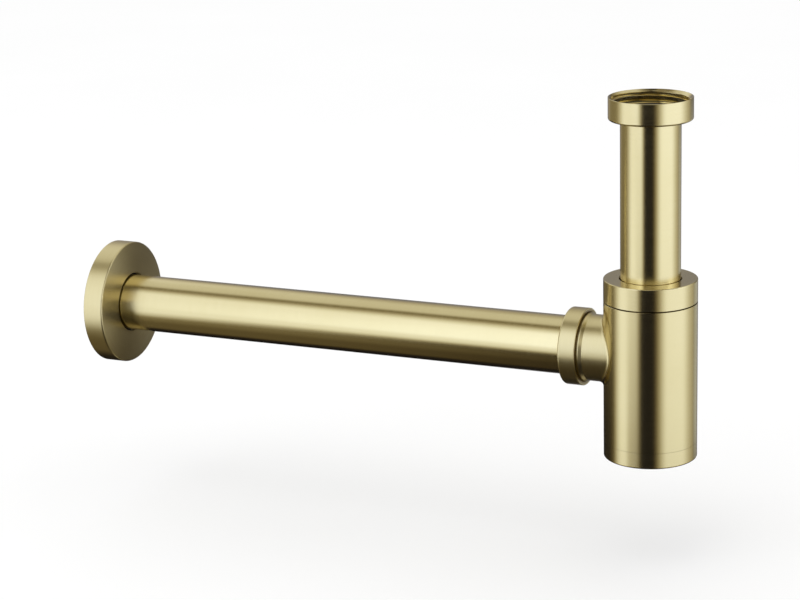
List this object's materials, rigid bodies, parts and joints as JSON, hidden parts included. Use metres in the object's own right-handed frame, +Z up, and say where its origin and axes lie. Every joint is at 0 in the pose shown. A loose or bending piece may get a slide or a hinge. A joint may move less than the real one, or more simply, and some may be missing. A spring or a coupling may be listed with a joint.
{
  "type": "basin trap",
  "caption": "Round brushed-brass bottle trap: a basin union nut and dip tube above, a bottle with clean-out cup, and a level outlet pipe to a wall flange.",
  "frame": {"origin": "centre of the gasket's top face inside the basin nut, where the basin's threaded tail seats", "axes": "+Z up along the inlet tube; the outlet pipe runs towards -X to the wall; Y is level, across the pipe"},
  "size_m": [0.3543, 0.07, 0.1955],
  "materials": {
    "brass": "satin, finely brushed round each turned piece",
    "rubber": "matt black rubber",
    "slip_plastic": "smooth off-white plastic"
  },
  "bodies": {
    "basin_nut": {"basin_nut": "brass"},
    "gasket": {"inlet_gasket": "rubber"},
    "inlet": {"inlet_tube": "brass"},
    "bottle": {"bottle_body": "brass", "top_seal": "rubber", "outlet_seal": "rubber"},
    "top_ring": {"top_slip_ring": "slip_plastic"},
    "top_nut": {"top_nut": "brass"},
    "outlet_ring": {"outlet_slip_ring": "slip_plastic"},
    "outlet_nut": {"outlet_nut": "brass"},
    "cup_ring": {"cup_o_ring": "rubber"},
    "cup": {"clean_out_cup": "brass"},
    "pipe": {"outlet_pipe": "brass"},
    "flange": {"wall_flange": "brass", "flange_ring": "rubber"}
  },
  "joints": [
    {"name": "tube_through_nut", "type": "slide", "parent": "basin_nut", "child": "gasket", "axis": [0, 0, 1], "range_m": [0, 0.07]},
    {"name": "trap_swivel", "type": "hinge", "parent": "gasket", "child": "inlet", "pos_m": [0, 0, 0], "axis": [0, 0, 1], "continuous": true},
    {"name": "height_adjust", "type": "slide", "parent": "inlet", "child": "bottle", "axis": [0, 0, 1], "range_m": [-0.025, 0.006]},
    {"name": "top_nut_lift", "type": "slide", "parent": "bottle", "child": "top_ring", "axis": [0, 0, 1], "range_m": [0, 0.00675]},
    {"name": "top_nut_turn", "type": "hinge", "parent": "top_ring", "child": "top_nut", "pos_m": [0, 0, -0.096], "axis": [0, 0, 1], "range_deg": [0, 1620]},
    {"name": "outlet_nut_draw", "type": "slide", "parent": "bottle", "child": "outlet_ring", "axis": [-1, 0, 0], "range_m": [0, 0.00525]},
    {"name": "outlet_nut_turn", "type": "hinge", "parent": "outlet_ring", "child": "outlet_nut", "pos_m": [-0.0406, 0, -0.1313], "axis": [-1, 0, 0], "range_deg": [0, 1260]},
    {"name": "cup_drop", "type": "slide", "parent": "bottle", "child": "cup_ring", "axis": [0, 0, -1], "range_m": [0, 0.0075]},
    {"name": "cup_turn", "type": "hinge", "parent": "cup_ring", "child": "cup", "pos_m": [0, 0, -0.184], "axis": [0, 0, -1], "range_deg": [0, 1800]},
    {"name": "pipe_draw", "type": "slide", "parent": "bottle", "child": "pipe", "axis": [-1, 0, 0], "range_m": [0, 0.01]},
    {"name": "flange_slide", "type": "slide", "parent": "pipe", "child": "flange", "axis": [1, 0, 0], "range_m": [0, 0.23]}
  ],
  "couplings": [
    {"joint": "top_nut_lift", "follows": "top_nut_turn", "m_per_rad": 0.00023873},
    {"joint": "outlet_nut_draw", "follows": "outlet_nut_turn", "m_per_rad": 0.00023873},
    {"joint": "cup_drop", "follows": "cup_turn", "m_per_rad": 0.00023873}
  ]
}
